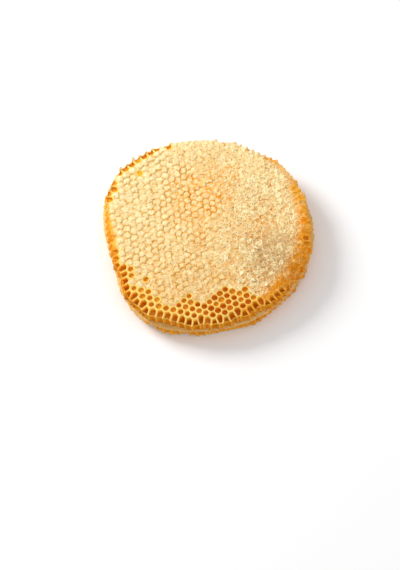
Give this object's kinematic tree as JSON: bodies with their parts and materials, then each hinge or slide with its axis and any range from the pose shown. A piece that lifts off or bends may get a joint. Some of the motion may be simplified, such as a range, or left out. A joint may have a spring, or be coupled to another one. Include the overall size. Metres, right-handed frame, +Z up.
{
  "type": "honeycomb piece",
  "caption": "Round slab of natural honeycomb: low domed wax caps, open cells along the front and left, a cut fluted side and a flat underside.",
  "frame": {"origin": "under the middle of the slab's box, at the height of the flat underside", "axes": "+Z up through the slab's thickness; the cells' rows run along Y; the open cells are along the front, towards -Y"},
  "size_m": [0.1706, 0.1772, 0.0269],
  "materials": {
    "comb_wax": "satin beeswax filled with honey: cream caps, amber seams and cells"
  },
  "bodies": {
    "root": {"honeycomb": "comb_wax"}
  },
  "joints": []
}
